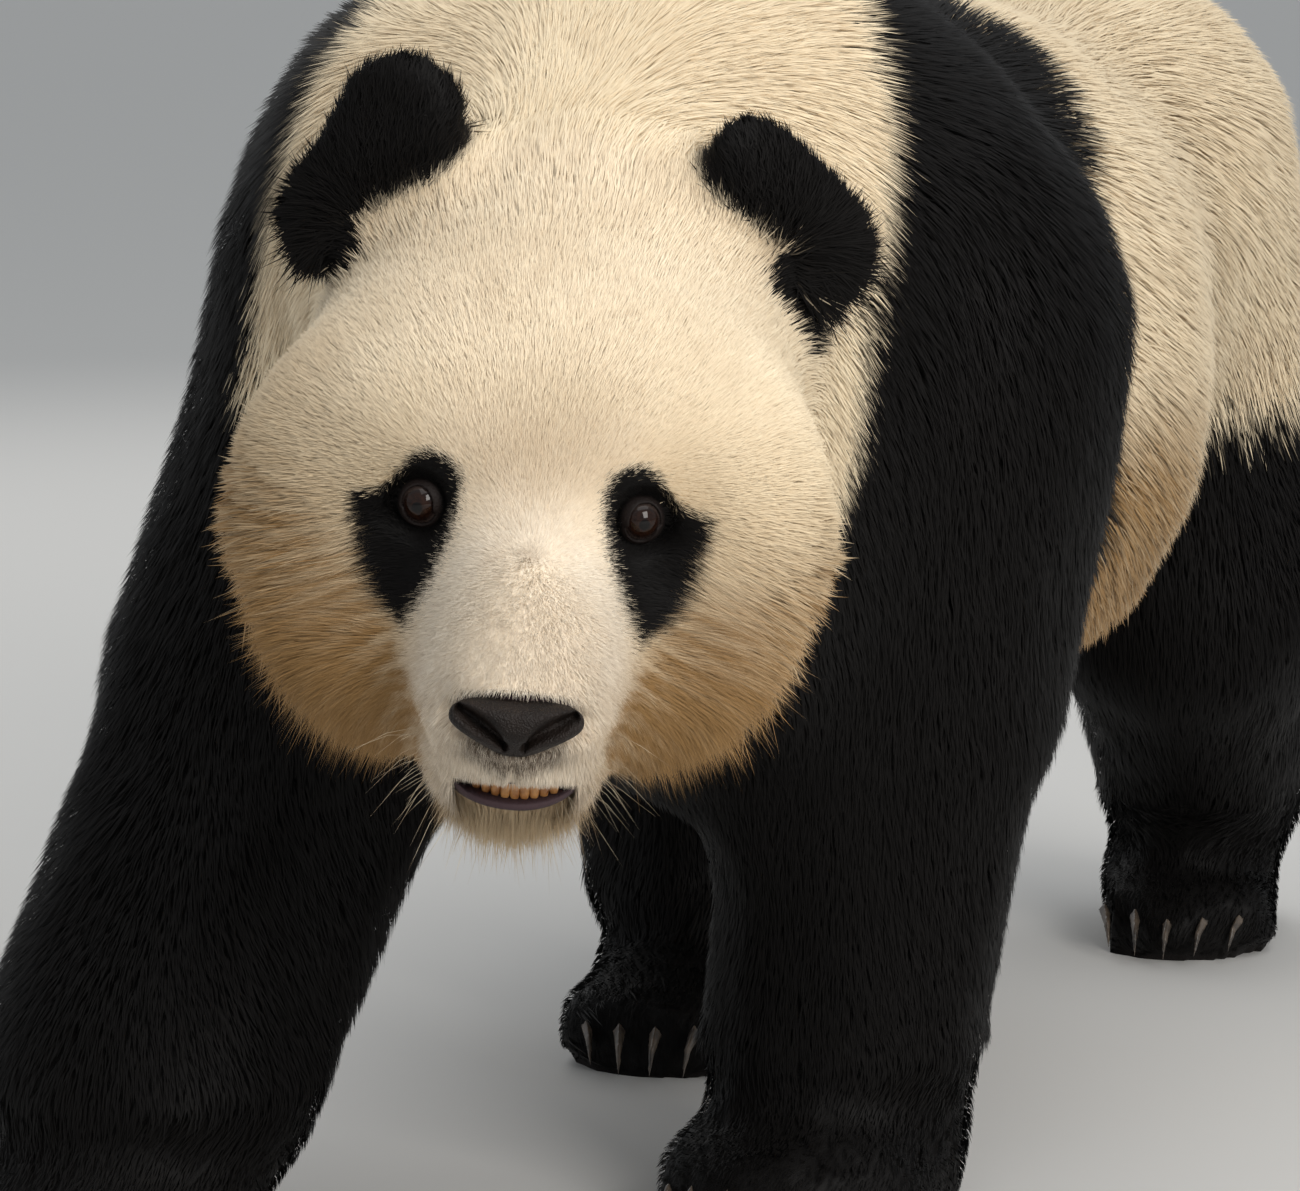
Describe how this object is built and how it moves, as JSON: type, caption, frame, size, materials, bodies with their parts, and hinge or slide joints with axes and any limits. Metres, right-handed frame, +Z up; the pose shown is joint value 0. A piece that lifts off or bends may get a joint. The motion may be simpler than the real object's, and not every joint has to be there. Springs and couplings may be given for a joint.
{
  "type": "giant panda",
  "caption": "Life-size still model of a giant panda in a slow walk, head lowered and turned to its left, one foreleg stepped forward, standing on its flat soles.",
  "frame": {"origin": "centre of the footprint of the bounding box, on the floor under the four soles", "axes": "+Z up; the body runs along Y and walks towards -Y; +X is the animal's left side"},
  "size_m": [0.6544, 1.6262, 0.7762],
  "materials": {
    "black_fur": "dense black fur",
    "cream_fur": "dense cream-white fur",
    "nose_skin": "bare pebbled skin",
    "eye": "wet dark brown eye",
    "claw_horn": "dull dark horn"
  },
  "bodies": {
    "root": {"upper_arm_left": "black_fur", "forearm_left": "black_fur", "forepaw_left": "black_fur", "thigh_left": "black_fur", "shank_left": "black_fur", "hindfoot_left": "black_fur", "foreclaw_left_1": "claw_horn", "foreclaw_left_2": "claw_horn", "foreclaw_left_3": "claw_horn", "foreclaw_left_4": "claw_horn", "foreclaw_left_5": "claw_horn", "hindclaw_left_1": "claw_horn", "hindclaw_left_2": "claw_horn", "hindclaw_left_3": "claw_horn", "hindclaw_left_4": "claw_horn", "hindclaw_left_5": "claw_horn", "upper_arm_right": "black_fur", "forearm_right": "black_fur", "forepaw_right": "black_fur", "thigh_right": "black_fur", "shank_right": "black_fur", "hindfoot_right": "black_fur", "foreclaw_right_1": "claw_horn", "foreclaw_right_2": "claw_horn", "foreclaw_right_3": "claw_horn", "foreclaw_right_4": "claw_horn", "foreclaw_right_5": "claw_horn", "hindclaw_right_1": "claw_horn", "hindclaw_right_2": "claw_horn", "hindclaw_right_3": "claw_horn", "hindclaw_right_4": "claw_horn", "hindclaw_right_5": "claw_horn", "chest": "black_fur", "neck": "cream_fur", "belly": "cream_fur", "rump": "cream_fur", "tail": "cream_fur", "head": "cream_fur", "muzzle": "cream_fur", "jaw": "cream_fur", "nose": "nose_skin", "ear_left": "black_fur", "ear_right": "black_fur", "eye_left": "eye", "eye_right": "eye"}
  },
  "joints": []
}
